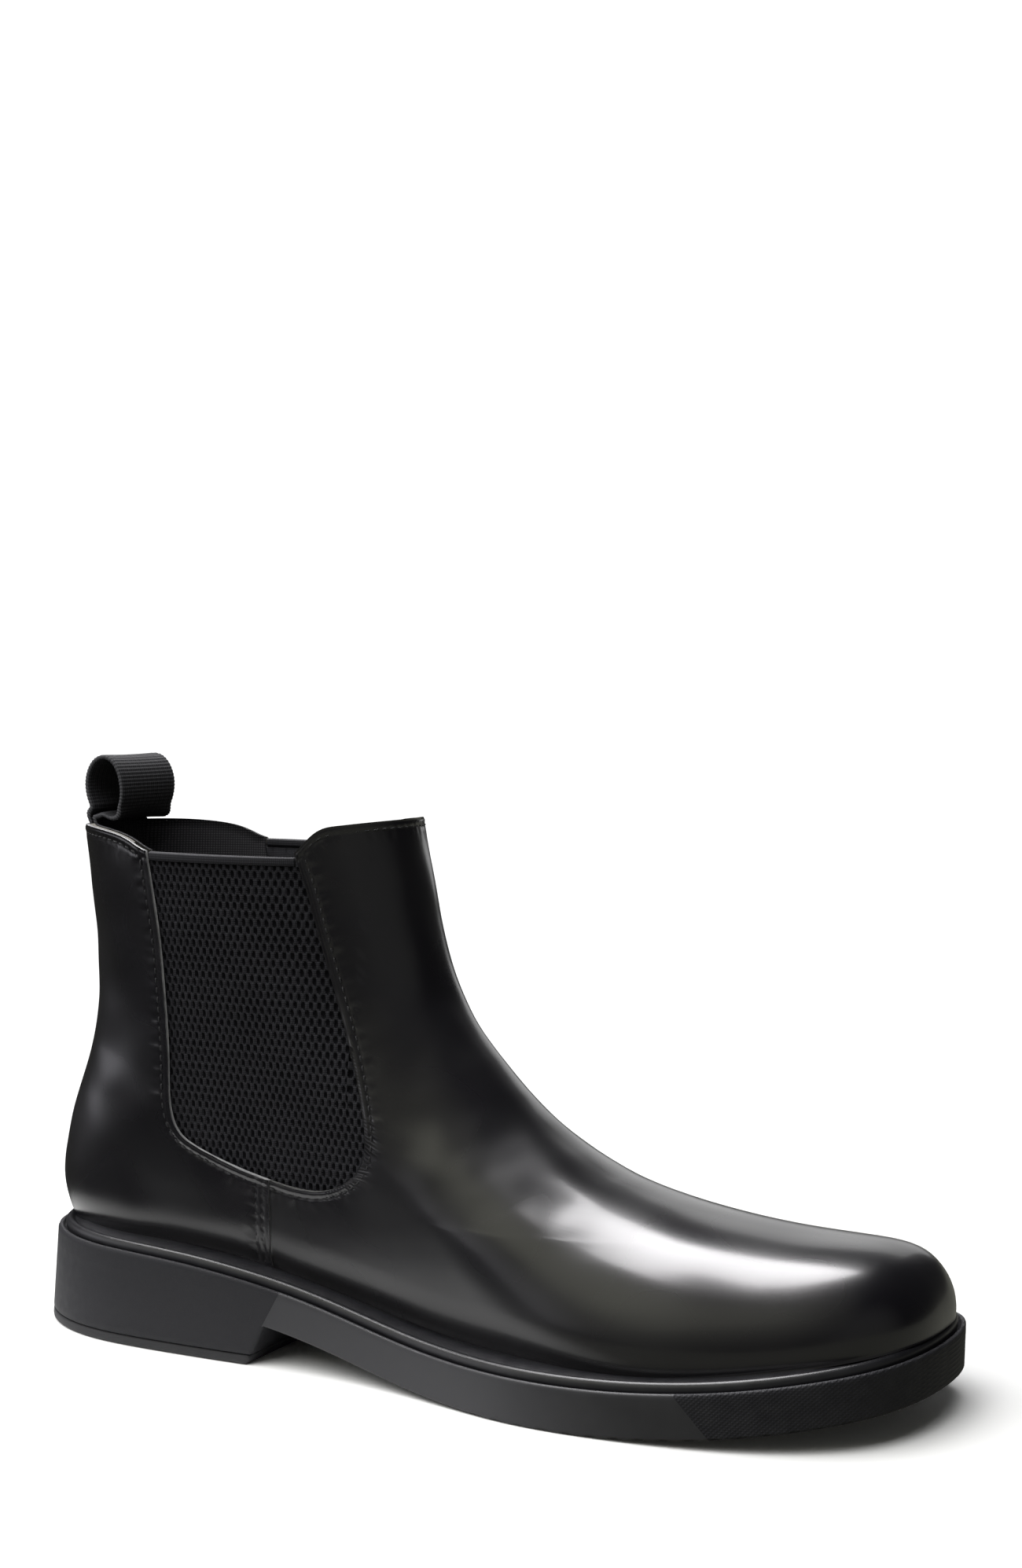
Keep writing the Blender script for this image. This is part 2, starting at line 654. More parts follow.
# ------------------------------------------------------------------ cuts of the upper
gore_x, gore_z = smooth_line(GORE_EDGE)(np.linspace(0, 1, 3001))
gore_line = np.stack([gore_x, gore_z], -1)
below_top = np.flatnonzero(gore_z < top_z(gore_x))
bottom_run = np.flatnonzero((gore_x > SIDE_SEAM_X) & (gore_z < 75))
seam_index = bottom_run[0]
gore_rear = gore_line[below_top[0]:seam_index + 1]
gore_front = gore_line[seam_index:below_top[-1] + 1]
seam_top_z = gore_line[seam_index, 1]
EDGE_STEP = 1.1
DENSE_STEP = 0.35
BAND = (0.5, 1.0, 1.5, 2.0, 2.5, 3.0, 3.6, 4.4, 5.4)       # rows of finer points beside a sewn edge
TOP_BAND = (0.004, 0.009, 0.014, 0.02, 0.027)              # and below the topline, in v


def seam_up_to(z, count):
    """The upright side seam from the feather line to a height."""
    heights = np.linspace(float(feather_z(SIDE_SEAM_X)), z, count)
    return np.column_stack([np.full(count, SIDE_SEAM_X), heights])


side_seam = seam_up_to(seam_top_z, 40)


def chain(parts):
    """Side-view polylines joined end to end, evenly spaced, corners kept."""
    pieces = [spaced(part, EDGE_STEP) for part in parts]
    return np.concatenate([pieces[0]] + [piece[1:] for piece in pieces[1:]])


def panel_flat(side_chain, is_back, grid, band_side, bands=BAND):
    """A panel's triangles, the size of its loop and where its points are in (u, v); the loop runs
    from the lateral feather line's end up its side chain, over the top and down the other side."""
    def other_side(uv):
        return np.stack([2 - uv[:, 0] if is_back else -uv[:, 0], uv[:, 1]], -1)

    right = locate(side_chain)
    right[0, 1], right[-1, 1] = 0.0, 1.0
    left = other_side(right)
    if is_back:
        left, right = right, left
    reach = abs(right[-1, 0] - left[-1, 0]), abs(right[0, 0] - left[0, 0])
    tops = np.linspace(left[-1, 0], right[-1, 0], int(reach[0] / grid[0] * 1.6) + 2)
    lows = np.linspace(right[0, 0], left[0, 0], int(reach[1] / grid[0]) + 2)
    top = np.stack([tops[1:-1], np.ones(len(tops) - 2)], -1)
    low = np.stack([lows[1:-1], np.zeros(len(lows) - 2)], -1)
    loop = np.concatenate([left, top, right[::-1], low])
    scale = 1 / np.array(grid)
    us = np.arange(left[:, 0].min(), right[:, 0].max(), grid[0])
    lattice = lattice_of(us, np.arange(grid[1], 1, grid[1]))
    inner = inside_points(loop, lattice, scale, 0.6)
    if bands:
        rows = []
        for distance in bands:
            found = locate(moved_sideways(side_chain, band_side * distance)[2:-1])
            found = found[(found[:, 1] > 0.004) & (found[:, 1] < 0.993)]
            rows += [found, other_side(found)]
        rows += [np.stack([tops, np.full(len(tops), 1 - drop)], -1) for drop in TOP_BAND]
        rim = inside_points(loop, np.concatenate(rows), scale, 0.12)
        tree = search_tree(rim * scale)
        inner = inner[[tree.find((*(p * scale), 0))[2] > 0.5 for p in inner]]
        inner = np.concatenate([inner, rim])
    return *fill_loop(loop, inner, scale), len(loop)


STITCH_PITCH = 3.1
EDGE_DROP, GROOVE_DEPTH, PUCKER_DEPTH = 0.35, 0.26, 0.07


def sewn_relief(points, edge_line, rows):
    """How a leather panel's face lies beside a sewn edge: rounded at the cut, drawn in at each row of
    stitches, and a little puckered beyond them."""
    away, along = distances(points, edge_line)
    relief = -EDGE_DROP * np.clip(1 - away / 0.9, 0, 1) ** 2
    for row in rows:
        pulled = 0.75 + 0.25 * np.cos(along * 2 * math.pi / STITCH_PITCH)
        relief -= GROOVE_DEPTH * pulled * hump(away, row, 0.55)
    relief += 0.1 * hump(away, rows[0] / 2, 0.7)
    pucker = np.sin(along * 2 * math.pi / (STITCH_PITCH * 1.6)) * np.sin(along * 0.37 + 1)
    return relief + PUCKER_DEPTH * pucker * hump(away, rows[-1] + 1.6, 2.0)


def soft_noise(points, size, seed):
    """Smooth noise, about -1 to 1, with features of a size in millimetres."""
    shift = Vector((seed * 7.31, seed * 3.17, seed * 5.93))
    return np.array([noise.noise(Vector(p) / size + shift) for p in points])


def worn_relief(points):
    """Low, slow unevenness of leather that was lasted and has been worn a little."""
    x, z = points[:, 0], points[:, 2]
    ankle = ease(95, 20, x) * ease(40, 60, z)
    relief = 0.2 * soft_noise(points, 24, 1) + 0.42 * ankle * soft_noise(points, 15, 2)
    across = soft_noise(points * [1, 0.35, 1], 7, 3)
    flex = hump(x + 0.9 * (z - 70), 18, 26) * ease(44, 56, z)
    return relief + 0.12 * flex * across


def leather_panel(side_chain, is_back, band_side, sewn_lines, grid):
    """A leather panel's triangles, loop size, points, normals, relief and facing."""
    flat, triangles, loop_count = panel_flat(side_chain, is_back, grid, band_side)
    points, normals = skin(flat), skin_normals(flat)

    def relief_at(places):
        relief = worn_relief(places)
        for line, rows in sewn_lines:
            relief = relief + sewn_relief(places, line, rows)
        return relief

    relief = relief_at(points)
    return triangles, loop_count, points, normals, relief, tilted_by(relief_at, points, normals, relief)


def tilted_by(relief_at, points, normals, relief, step=0.45):
    """Normals of the skin once a relief is laid on it."""
    level = np.cross(normals, [0, 0, 1])
    level /= np.maximum(np.linalg.norm(level, axis=1), 1e-6)[:, None]
    facing = normals.copy()
    for across in (level, np.cross(normals, level)):
        slope = (relief_at(points + across * step) - relief) / step
        facing -= across * slope[:, None]
    return unit(facing)


front_chain = chain([side_seam, gore_front])
back_chain = chain([side_seam, gore_rear[::-1]])
LAP_SINK, LAP_RISE = 0.4, 0.35         # of the front and the back panel where they lap at the side seams
SEAM_ROWS = (2.4, 4.9)
EDGE_ROW = (2.5,)


def topline_points(us):
    return skin(np.stack([us, np.ones_like(us)], -1))


collar_line = topline_points(np.linspace(0, 2, 1600))


def on_both_sides(places, rows):
    """A side-view line on either side of the skin, densely, each with its rows of stitches."""
    return [(side_skin(spaced(places, DENSE_STEP), side), rows) for side in (-1, 1)]


def finish_panel(name, data, depth, thickness, materials, nodes, zone=None):
    """The piece of a panel, from its data and how it lies under the skin."""
    triangles, loop_count, points, normals, relief, facing = data
    everything = slab_points(points, normals, relief, loop_count, depth, thickness)
    faces, kinds = thick_faces(triangles, loop_count)
    make_object(name, everything, faces, materials, nodes, zone, kinds=kinds,
                facing=(loop_count, facing[loop_count:]))


def make_front_panel():
    """Vamp and shaft front, one piece of leather."""
    ahead = topline_points(np.linspace(-0.8, 0.8, 300))
    ahead = ahead[np.abs(ahead[:, 0] + 20) < 25]
    collar = collar_line[distances(collar_line, ahead[::3])[0] < 2.5]
    data = leather_panel(front_chain, False, 1, on_both_sides(gore_front, EDGE_ROW) + [(collar, EDGE_ROW)],
                         (0.0095, 0.0105))
    points, relief = data[2], data[4]
    behind = ease(8, 0, points[:, 0] - SIDE_SEAM_X) * (points[:, 2] < seam_top_z + 4)
    relief -= LAP_SINK * behind
    finish_panel("front_panel", data, 0, LEATHER, [black_leather, flesh_side, cut_edge],
                 ["front_panel_lower", "front_panel_shaft"], LEATHER_BLEND)


def make_back_panel():
    """Leather round the heel and up the back, lapped over the front panel at the side seams."""
    lines = []
    for gore_side, seam_side in zip(on_both_sides(gore_rear, EDGE_ROW), on_both_sides(side_seam, SEAM_ROWS)):
        lines += [gore_side, seam_side]
    lines.append((collar_line[collar_line[:, 0] < -95], EDGE_ROW))
    data = leather_panel(back_chain, True, -1, lines, (0.0105, 0.013))
    points, relief = data[2], data[4]
    ahead = ease(14, 0, SIDE_SEAM_X - points[:, 0]) * (points[:, 2] < seam_top_z + 3)
    relief += LAP_RISE * ahead
    finish_panel("back_panel", data, 0, LEATHER, [black_leather, flesh_side, pale_edge],
                 ["back_panel"])


def make_inner_layer(name, side_chain, is_back, depth, thickness, materials, nodes, slot, zone=None):
    """A smooth layer under the leather."""
    flat, triangles, loop_count = panel_flat(side_chain, is_back, (0.016, 0.02), 1, ())
    points = skin(flat)
    data = triangles, loop_count, points, skin_normals(flat), np.zeros(len(points)), np.zeros_like(points)
    finish_panel(name, data, depth, thickness, materials, nodes, zone)


def make_inner_layers():
    lining = LINING_DEPTHS[0], LINING_DEPTHS[1] - LINING_DEPTHS[0], [flesh_side, lining_cloth, lining_cloth]
    make_inner_layer("front_lining", front_chain, False, *lining, ["vamp_lining", "shaft_front_lining"],
                     "lining", LEATHER_BLEND)
    make_inner_layer("back_lining_sewn", back_chain, True, *lining, ["back_lining"], "lining")
    lapped = moved_sideways(gore_front, GORE_LAP + 0.4)
    lapped = lapped[(lapped[:, 1] < top_z(lapped[:, 0]) - 0.3) & (lapped[:, 0] > SIDE_SEAM_X)]
    make_inner_layer("front_backing", chain([seam_up_to(lapped[0, 1], 30), lapped]), False, LEATHER, BACKING,
                     [backing_felt] * 3, ["vamp_backing", "shaft_front_backing"], "backing", LEATHER_BLEND)


# ------------------------------------------------------------------ elastic gores
MESH_PITCH = (2.57, 4.92)          # of the knit's holes: along, and up for two staggered rows
MESH_HOLE = (0.6, 1.42)           # half width and half height of a hole
LATTICE = (0.4283, 0.41)           # the knit's points: six along and twelve up to a pitch
COARSER = 10                      # times, for the plain inner face
GORE_EDGE_STEP = 1.4
KNIT_SHADE = -0.3                 # deeper than this the darker ground cloth shows


def knit_relief(places):
    """Depth of the net pattern: two sets of upright holes, with swelling cords between."""
    x = places[:, 0] + 0.06 * (places[:, 1] - 100)
    z = places[:, 1]
    relief = np.zeros(len(places))
    for shift_x, shift_z in ((0, 0), (0.5, 0.5)):
        dx = (x / MESH_PITCH[0] + shift_x) % 1 - 0.5
        dz = (z / MESH_PITCH[1] + shift_z) % 1 - 0.5
        reach = np.hypot(dx * MESH_PITCH[0] / MESH_HOLE[0], dz * MESH_PITCH[1] / MESH_HOLE[1])
        relief -= 0.85 * ease(1.25, 0.45, reach)
    return relief + 0.08 * np.cos(x * 2 * math.pi / (MESH_PITCH[0] / 2))


def make_gore(name, side, node):
    """A panel of net-textured elastic, lapped under the leather."""
    grown = moved_sideways(gore_line, GORE_LAP)
    grown = spaced(grown[grown[:, 1] < GORE_TOP], GORE_EDGE_STEP)
    top = spaced(np.array([grown[-1], grown[0]]), GORE_EDGE_STEP)[1:-1]
    loop = np.concatenate([grown, top])
    xs = np.arange(loop[:, 0].min(), loop[:, 0].max(), LATTICE[0])
    zs = np.arange(loop[:, 1].min(), loop[:, 1].max(), LATTICE[1])
    fine = lattice_of(xs, zs)
    coarse = fine.reshape(len(zs), len(xs), 2)[::COARSER, ::COARSER].reshape(-1, 2)
    scale = np.ones(2)
    outer_flat, outer_faces = fill_loop(loop, inside_points(loop, fine, scale, 0.35), scale)
    inner_flat, inner_faces = fill_loop(loop, inside_points(loop, coarse, scale, 1.5), scale)
    outer_normals, inner_normals = side_normals(outer_flat, side), side_normals(inner_flat, side)
    stretch = 0.12 * soft_noise(side_skin(outer_flat, side), 16, 5)
    relief = knit_relief(outer_flat) + stretch
    relief[:len(loop)] = 0
    outer = side_skin(outer_flat, side) - outer_normals * (GORE_DEPTHS[0] - relief)[:, None]
    inner = side_skin(inner_flat, side) - inner_normals * GORE_DEPTHS[1]
    count, loop_count = len(outer), len(loop)
    faces = [tuple(f) for f in outer_faces] + [tuple(f[::-1] + count) for f in inner_faces]
    for i in range(loop_count):
        j = (i + 1) % loop_count
        faces.append((j, i, i + count, j + count))
    kinds = np.zeros(len(faces), int)
    kinds[:len(outer_faces)] = relief[outer_faces].mean(axis=1) < KNIT_SHADE
    make_object(name, np.concatenate([outer, inner]), turned_out(faces, side), [elastic_cloth, knit_ground],
                [node], GORE_BLEND, kinds=kinds)


def turned_out(faces, side):
    """Faces made for the lateral side, turned over for the medial one."""
    return [tuple(reversed(f)) for f in faces] if side > 0 else faces


def ring_faces(count, rows):
    """Quads between rows of a closed ring, each row's points following the last row's."""
    faces = []
    for first in range(0, (rows - 1) * count, count):
        for i in range(count):
            j = (i + 1) % count
            faces.append((first + i, first + j, first + count + j, first + count + i))
    return faces


def swept_ribbon(rings):
    """Points and faces of rings of equal counts joined into a tube, closed at both ends."""
    count = len(rings[0])
    faces = ring_faces(count, len(rings))
    faces.append(tuple(range(count))[::-1])
    faces.append(tuple((len(rings) - 1) * count + i for i in range(count)))
    return np.concatenate(rings), faces


def rounded_section(width, height, corner, steps=4):
    """A rounded rectangle about 0, 0, as (n, 2)."""
    places = []
    for quarter, (sx, sy) in enumerate(((1, 1), (-1, 1), (-1, -1), (1, -1))):
        for k in range(steps + 1):
            angle = math.pi / 2 * (quarter + k / steps)
            places.append((sx * (width / 2 - corner) + corner * math.cos(angle),
                           sy * (height / 2 - corner) + corner * math.sin(angle)))
    return np.array(places)


def make_gore_tape(name, side, node):
    """Folded tape over the top edge of a gore, ribbed across."""
    middle_z = (TAPE_TOP + GORE_TOP) / 2
    rear_x = np.interp(middle_z, *gore_rear[::-1, ::-1].T)
    front_x_there = np.interp(middle_z, *gore_front[-900:, ::-1].T)
    depth = sum(TAPE_DEPTHS) / 2
    section = rounded_section(TAPE_DEPTHS[1] - TAPE_DEPTHS[0], TAPE_TOP - GORE_TOP + 0.3, 0.75)
    rings = []
    for x in np.arange(rear_x + 0.5, front_x_there - 0.4, 0.45):
        place = np.array([[x, middle_z]])
        base, normal = side_skin(place, side)[0], side_normals(place, side)[0]
        out, up = (section * (1 + 0.05 * math.cos(x * 2 * math.pi / 0.9))).T
        rings.append(base - normal * depth + np.outer(out, normal) + np.outer(up, (0, 0, 1)))
    points, faces = swept_ribbon(rings)
    make_object(name, points, turned_out(faces, side), [tape_cloth], [node], GORE_BLEND)


# ------------------------------------------------------------------ stitches
STITCH_LENGTH, STITCH_RADIUS = 2.35, 0.33
STITCH_ROWS, STITCH_SIDES = 6, 7
STITCH_SINK = 0.12


def make_stitch(centre, normals, sink):
    """One stitch: a short slim roll that dips at its ends."""
    side = np.cross(normals, unit(np.gradient(centre, axis=0)))
    share = np.linspace(-1, 1, STITCH_ROWS)
    swell = np.sqrt(np.clip(1 - 0.96 * share ** 4, 0, 1)) * STITCH_RADIUS
    lift = -sink - 0.35 * share ** 4
    angles = 2 * math.pi * np.arange(STITCH_SIDES) / STITCH_SIDES
    rings = []
    for i in range(STITCH_ROWS):
        out = np.outer(lift[i] + 0.75 * swell[i] * np.sin(angles), normals[i])
        rings.append(centre[i] + out + np.outer(swell[i] * np.cos(angles), side[i]))
    return swept_ribbon(rings)


def make_stitch_rows(name, lines, sink=STITCH_SINK, zone=None):
    """Stitches along lines of (points, normals), as one piece."""
    points, faces, count = [], [], 0
    for line, normals in lines:
        marks = run_marks(line)
        for k in range(int(marks[-1] / STITCH_PITCH)):
            start = (k + 0.5) * STITCH_PITCH - STITCH_LENGTH / 2
            places = start + np.linspace(0, STITCH_LENGTH, STITCH_ROWS)
            outward = unit(rows_at(places, marks, normals))
            roll, its_faces = make_stitch(rows_at(places, marks, line), outward, sink)
            points.append(roll)
            faces += [tuple(count + i for i in face) for face in its_faces]
            count += len(roll)
    make_object("stitches_" + name, np.concatenate(points), faces, [thread], zone=zone)


def side_stitch_lines(places):
    places = spaced(places, 0.7)
    return [(side_skin(places, side), side_normals(places, side)) for side in (-1, 1)]


def collar_stitch_line(u_from, u_to, below):
    """A line round the collar, a set distance below the topline."""
    us = np.linspace(u_from, u_to, 160)
    high = skin(np.stack([us, np.ones_like(us)], -1))
    low = skin(np.stack([us, np.full_like(us, 0.96)], -1))
    share = 0.04 * below / np.linalg.norm(high - low, axis=1)
    uv = np.stack([us, 1 - share], -1)
    return skin(uv), skin_normals(uv)


def make_stitches():
    """Rows of topstitching along the sewn edges."""
    edge = EDGE_ROW[0]
    gore_rows = []
    for gore_edge in (gore_front, gore_rear):
        row = moved_sideways(gore_edge, edge)
        gore_rows.append(side_stitch_lines(row[row[:, 1] < top_z(row[:, 0]) - 3]))
    front_u = locate(gore_front[-1:])[0, 0] - 0.025
    rear_u = locate(gore_rear[:1])[0, 0] + 0.02
    seams = []
    for row in SEAM_ROWS:
        seams += side_stitch_lines(side_seam[:-4] + [-row, 0])
    make_stitch_rows("gore_front", gore_rows[0], zone=LEATHER_BLEND)
    make_stitch_rows("collar_front", [collar_stitch_line(-front_u, front_u, edge)], zone=LEATHER_BLEND)
    make_stitch_rows("gore_rear", gore_rows[1])
    make_stitch_rows("side_seam", seams, sink=0.0)
    make_stitch_rows("collar_back", [collar_stitch_line(rear_u, 2 - rear_u, edge)])


# ------------------------------------------------------------------ pull tab
WEBBING = 1.35
TAB_STEP = 0.28
TAB_RIB = 1.12
TAIL_FOOT = 143
TAB_SKEW = 0.04                        # the worn loop isn't quite square to the boot


def make_pull_tab():
    """One strip of ribbed webbing: up from between lining and leather, round in a roll, and back."""
    angles = np.radians(np.linspace(218, -118, 90))
    radii = np.array(TAB_RADII) - WEBBING / 2
    ring = np.column_stack([np.cos(angles), np.sin(angles)]) * radii + TAB_CENTRE
    foot_x, foot_z = TAB_HINGE
    outer_tail = np.array([(-0.75, TAIL_FOOT), (-0.85, 155), (-0.8, 163), (-0.6, foot_z)]) + [foot_x, 0]
    inner_tail = np.array([(0.75, foot_z), (0.6, 163), (0.55, 155), (0.6, TAIL_FOOT)]) + [foot_x, 0]
    line = smooth_line(spaced(np.concatenate([outer_tail, ring, inner_tail]), 2.2))
    path = spaced(np.stack(line(np.linspace(0, 1, 900)), -1), TAB_STEP)
    run = unit(np.gradient(path, axis=0))
    centre = float(centre_y(-150))
    across = np.linspace(-1, 1, 27)
    ys = centre + across * (TAB_HALF_WIDTH - 0.2)
    selvage = np.where(np.abs(across) > 0.93, 0.85, 1.0)
    dish = -0.25 * across ** 2
    rings = []
    for i, (place, (run_x, run_z)) in enumerate(zip(path, run)):
        half = (WEBBING / 2 + 0.11 * math.cos(i * TAB_STEP * 2 * math.pi / TAB_RIB)) * selvage
        top, under = (place + np.outer(rise, (run_z, -run_x)) for rise in (dish + half, dish - half))
        faces_out = np.column_stack([top[:, 0], ys, top[:, 1]])
        faces_in = np.column_stack([under[:, 0], ys, under[:, 1]])
        rings.append(np.concatenate([faces_out, faces_in[::-1]]))
    points, faces = swept_ribbon(rings)
    _, y, z = points.T
    points[:, 0] += TAIL_CURVE * (np.abs(y - centre) / TAB_HALF_WIDTH) ** 2 * ease(171, 164, z)
    points[:, 0] += TAIL_LEAN * np.maximum(166 - z, 0)
    points[:, 0] += TAB_SKEW * (y - centre) * ease(168, 180, z)
    make_object("pull_tab_webbing", points, faces, [webbing_cloth], ["pull_tab", "pull_tab_tails"],
                TAB_BLEND)


# ------------------------------------------------------------------ sole
WRAP = 6                               # outline points repeated before the start, to close the curve smoothly
outline_wrapped = OUTLINE[-WRAP:] + OUTLINE + OUTLINE[:WRAP + 1]
outline_line = smooth_line(outline_wrapped)
wrap_steps = np.sqrt(np.linalg.norm(np.diff(np.array(outline_wrapped, float), axis=0), axis=1))
wrap_marks = np.concatenate([[0], np.cumsum(wrap_steps)]) / wrap_steps.sum()
once_round = np.linspace(wrap_marks[WRAP], wrap_marks[WRAP + len(OUTLINE)], 4001)
outline_dense = np.stack(outline_line(once_round), -1)[:-1]
outline_closed = np.concatenate([outline_dense, outline_dense[:1]])
outline_marks = run_marks(outline_closed)
PERIMETER = outline_marks[-1]
outline_run = unit(np.roll(outline_dense, -1, axis=0) - np.roll(outline_dense, 1, axis=0))
outline_out = np.stack([-outline_run[:, 1], outline_run[:, 0]], -1)
outline_out = np.concatenate([outline_out, outline_out[:1]])
STATIONS = 960


SEAT_ENDS = -50                        # x where the seat layer's flat underside gives way to the waist


def outline_at(marks, inset=0.0, z=None):
    """Outline points at marks along it, moved inwards; the heel end flares towards the ground."""
    marks = np.asarray(marks) % PERIMETER
    place = rows_at(marks, outline_marks, outline_closed)
    out = rows_at(marks, outline_marks, outline_out)
    if z is not None:
        inset = inset - HEEL_FLARE * ease(-40, -140, place[:, 0]) * (1 - z / 40)
    return place + out * np.reshape(-np.asarray(inset) * np.ones(len(place)), (-1, 1))


def ground_z(x):
    """Underside of the outsole's wall ahead of the heel."""
    return np.maximum(rim_z(x) - wall_height(x), 0)


station_marks = np.arange(STATIONS) / STATIONS * PERIMETER
station_x = outline_at(station_marks)[:, 0]
mark_rate = np.sign(np.roll(station_x, -1) - np.roll(station_x, 1))


def snap_stations(x_at_rim):
    """Moves the stations nearest to an x on the two long sides onto it."""
    for sign in (-1, 1):
        side = np.flatnonzero((mark_rate == sign) & (np.abs(station_x) < 130))
        nearest = side[np.argmin(np.abs(station_x[side] - x_at_rim))]
        station_marks[nearest] += (x_at_rim - station_x[nearest]) * sign


snap_stations(BREAST[1])
snap_stations(FOREFOOT[1])
station_x = outline_at(station_marks)[:, 0]
station_rim = rim_z(station_x)
near_heel = hump(station_x, BREAST[1], 14) * (station_x > -100)
near_forefoot = hump(station_x, FOREFOOT[1], 14)


def leaned_marks(share):
    """Station marks at a share of the way down the wall, leaned so that two columns follow the slanted
    ends of the heel's and the forefoot's zones."""
    rim_at_breast = float(rim_z(BREAST[1]))
    drop = share * np.where(station_x < SEAT_ENDS, SEAT_LAYER, wall_height(station_x))
    lean_heel = -(BREAST[1] - BREAST[0]) / rim_at_breast * drop
    lean_fore = (FOREFOOT[0] - FOREFOOT[1]) / float(wall_height(FOREFOOT[1])) * drop
    return station_marks + mark_rate * (near_heel * lean_heel + near_forefoot * lean_fore)


def zone_of_column():
    """Zone of the wall's face right after each station: 0 heel, 1 waist, 2 forefoot."""
    zones = np.ones(STATIONS, int)
    middle = (station_x + np.roll(station_x, -1)) / 2
    zones[middle < BREAST[1]] = 0
    zones[middle > FOREFOOT[1]] = 2
    return zones


TREAD_PITCH, TREAD_WIDTH, TREAD_DEPTH = 7.4, 2.6, 1.3
HEEL_TREAD = 0.7                       # share of the depth under the heel
CHEVRON = 0.35                         # how far forward the grooves run per millimetre outwards


def tread_relief(x, y):
    """Height of the tread's grooves: shallow chevrons across the forefoot and under the heel."""
    wave = x - CHEVRON * np.abs(y - centre_y(x))
    place = np.abs((wave / TREAD_PITCH) % 1 - 0.5) * TREAD_PITCH
    groove = ease(TREAD_WIDTH / 2 + 0.3, TREAD_WIDTH / 2 - 0.3, place)
    zone = ease(28, 34, x) * ease(146, 140, x) + ease(-64, -68, x)
    return TREAD_DEPTH * groove * np.clip(zone, 0, 1)


def rim_rings(section):
    """Rings round the rim, from (inset, rise above the rim) pairs."""
    rings = []
    for inset, rise in section:
        place = outline_at(station_marks, inset, station_rim)
        rings.append(np.column_stack([place, rim_z(place[:, 0]) + rise]))
    return rings


def cap_ring(points, ring, lattice, clear, height_at, is_top):
    """All the points with those of a cap over a ring of them, and the cap's triangles."""
    scale = np.ones(2)
    loop = points[ring][:, :2]
    flat, triangles = fill_loop(loop, inside_points(loop, lattice, scale, clear), scale)
    inner = flat[len(ring):]
    triangles = np.concatenate([ring, len(points) + np.arange(len(inner))])[triangles]
    points = np.concatenate([points, np.column_stack([inner, height_at(*inner.T)])])
    return points, triangles if is_top else triangles[:, ::-1]


LIP_SECTION = [(9.0, -1.3), (2.3, -1.3), (1.85, -1.1), (1.62, -0.5), (1.45, -0.1), (1.05, 0.06), (0.6, 0.02),
               (0.22, -0.25), (0.04, -0.7)]
LIP = -LIP_SECTION[-1][1]


def outsole_top(x, y):
    return rim_z(x) + LIP_SECTION[0][1]


def outsole_underside(x, y):
    """Level under the seat, then the treaded sole."""
    return mix(rim_z(x) - SEAT_LAYER, ground_z(x) + tread_relief(x, y) * (x > 0), ease(-51, -50.2, x))


def tread_lattice():
    """Points along the chevrons, with a few rows over each groove's sides."""
    starts = np.arange(-20, 24) * TREAD_PITCH
    across = np.array((-1.75, -1.3, -0.85, 0, 0.85, 1.3, 1.75, TREAD_PITCH / 2))
    xs = np.sort((starts + TREAD_PITCH / 2 + across[:, None]).ravel())
    lattice = lattice_of(xs, np.arange(-60, 60, 2.6))
    lattice[:, 0] += CHEVRON * np.abs(lattice[:, 1] - centre_y(lattice[:, 0]))
    return lattice


def make_outsole():
    """Moulded outsole: lip round the rim, wall in three zones, treaded underside."""
    zones = zone_of_column()
    is_heel = zones == 0
    is_treaded = station_x > 0
    rings = rim_rings(LIP_SECTION)
    for share in np.concatenate([np.linspace(0.08, 0.92, 9), [0.965, 1.0]]):
        marks = leaned_marks(share)
        x = outline_at(marks)[:, 0]
        z = mix(rim_z(x) - LIP, np.where(station_x < SEAT_ENDS, rim_z(x) - SEAT_LAYER, ground_z(x)), share)
        inset = np.where(is_heel, -0.12, 0.25 * (share > 0.98))
        rings.append(np.column_stack([outline_at(marks, inset, z), z]))
    last = rings[-1]
    under = outline_at(leaned_marks(1.0), 1.1, last[:, 2])
    rings.append(np.column_stack([under, last[:, 2] + tread_relief(*under.T) * is_treaded]))
    last[:, 2] += np.where(is_heel, 0, 0.25) + tread_relief(last[:, 0], last[:, 1]) * is_treaded
    points = np.concatenate(rings)
    faces = ring_faces(STATIONS, len(rings))
    kinds = list(np.tile(zones, len(rings) - 1))
    ring = np.arange(STATIONS)
    points, top = cap_ring(points, ring, lattice_of(np.arange(-160, 160, 6.0), np.arange(-60, 60, 6.0)), 0.6,
                           outsole_top, True)
    points, under = cap_ring(points, (len(rings) - 1) * STATIONS + ring, tread_lattice(), 0.6,
                             outsole_underside, False)
    faces += [tuple(f) for f in np.concatenate([top, under])]
    kinds += [1] * len(top) + list(np.where(points[under[:, 2], 0] > 28, 2, 1))
    facing = (len(rings) - 2) * STATIONS, ring_facing(rings[-2]) * is_heel[:, None]
    make_object("outsole_moulded", points, faces, [heel_rubber, waist_rubber, ribbed_rubber],
                ["outsole"], kinds=kinds, facing=facing)


HEEL_STATIONS = 420


